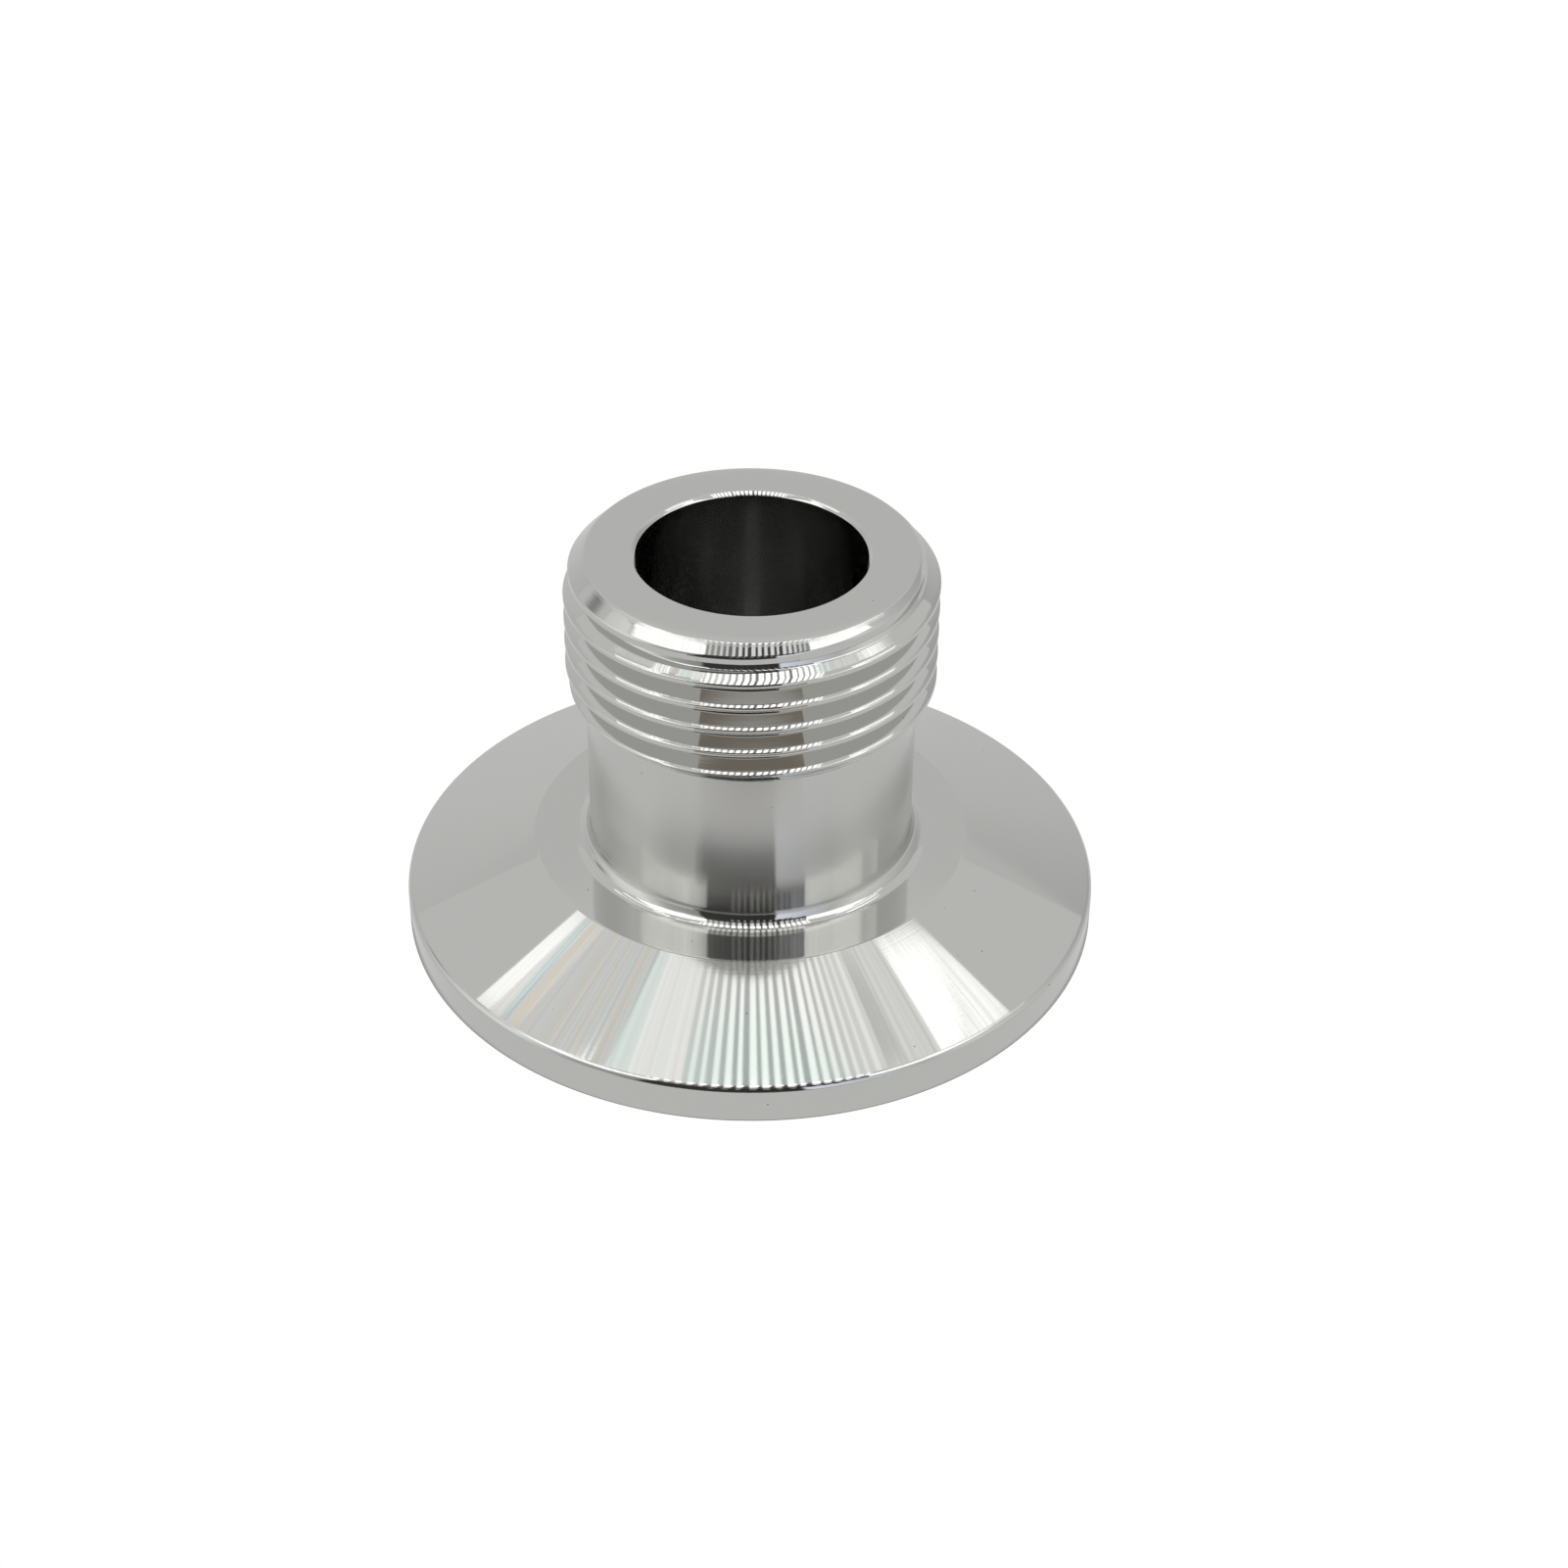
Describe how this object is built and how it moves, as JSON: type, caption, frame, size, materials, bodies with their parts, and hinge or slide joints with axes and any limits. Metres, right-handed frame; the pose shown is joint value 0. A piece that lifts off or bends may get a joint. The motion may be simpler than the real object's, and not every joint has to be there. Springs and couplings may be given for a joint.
{
  "type": "hose thread to tri-clamp adapter",
  "caption": "Turned stainless adapter: a sanitary clamp flange with a coned back, a plain neck and an external pipe thread, with a straight bore through it.",
  "frame": {"origin": "centre of the clamp flange's sealing face, which is the lowest plane of the part", "axes": "+Z along the bore from the sealing face to the hose end, +X to the right as the picture shows it"},
  "size_m": [0.0505, 0.0504, 0.0297],
  "materials": {
    "stainless": "bright turned stainless steel, polished, with fine marks around the axis"
  },
  "bodies": {
    "root": {"adapter_body": "stainless"}
  },
  "joints": []
}
